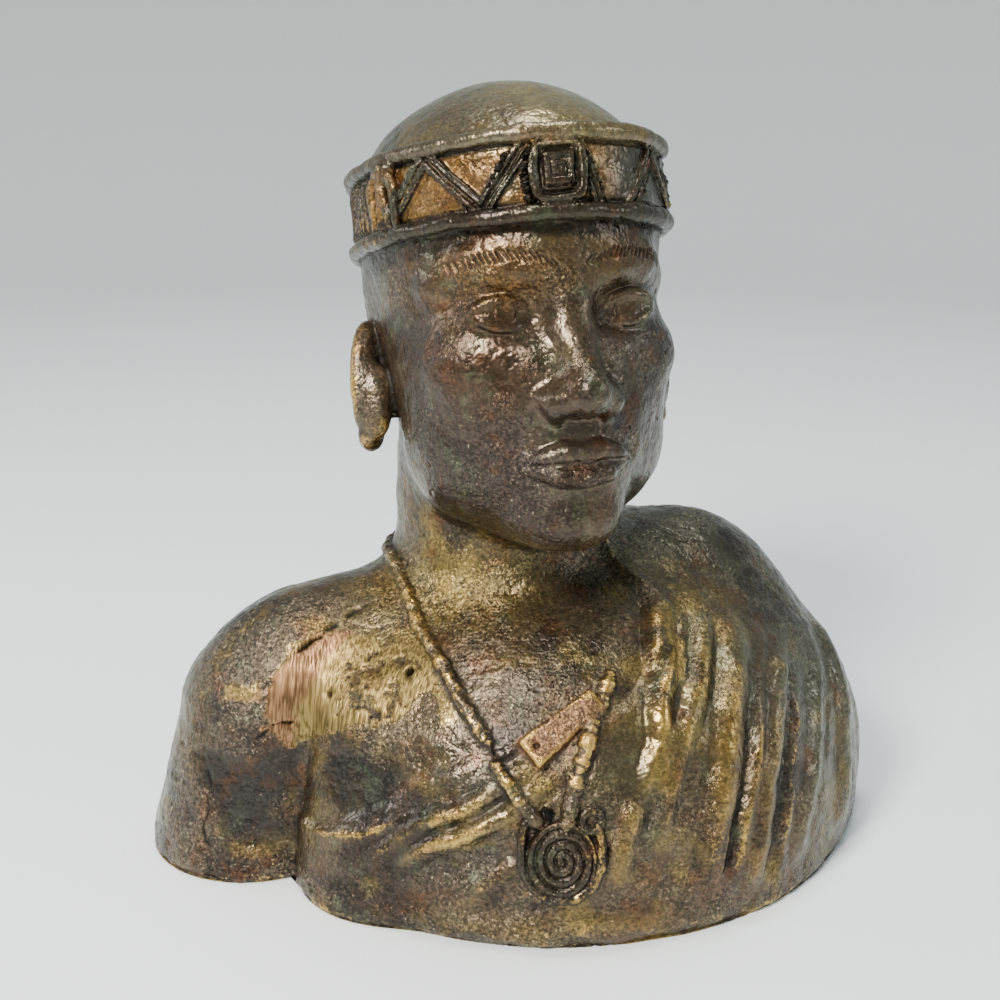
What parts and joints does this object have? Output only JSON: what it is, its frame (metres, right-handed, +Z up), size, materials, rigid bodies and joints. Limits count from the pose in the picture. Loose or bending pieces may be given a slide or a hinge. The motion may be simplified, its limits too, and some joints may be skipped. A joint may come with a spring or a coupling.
{
  "type": "portrait bust",
  "caption": "Cast brass bust of a man in a patterned headband, draped over one shoulder, with a beaded necklace and spiral pendant, standing on a flat underside.",
  "frame": {"origin": "on the flat underside, below the middle of the casting's overall box", "axes": "+Z up, the figure faces -Y and its own left side is +X"},
  "size_m": [0.33, 0.2224, 0.3304],
  "materials": {
    "brass": "cast, with a dark brown-black patina worn to gold on the high points"
  },
  "bodies": {
    "root": {"bust": "brass"}
  },
  "joints": []
}
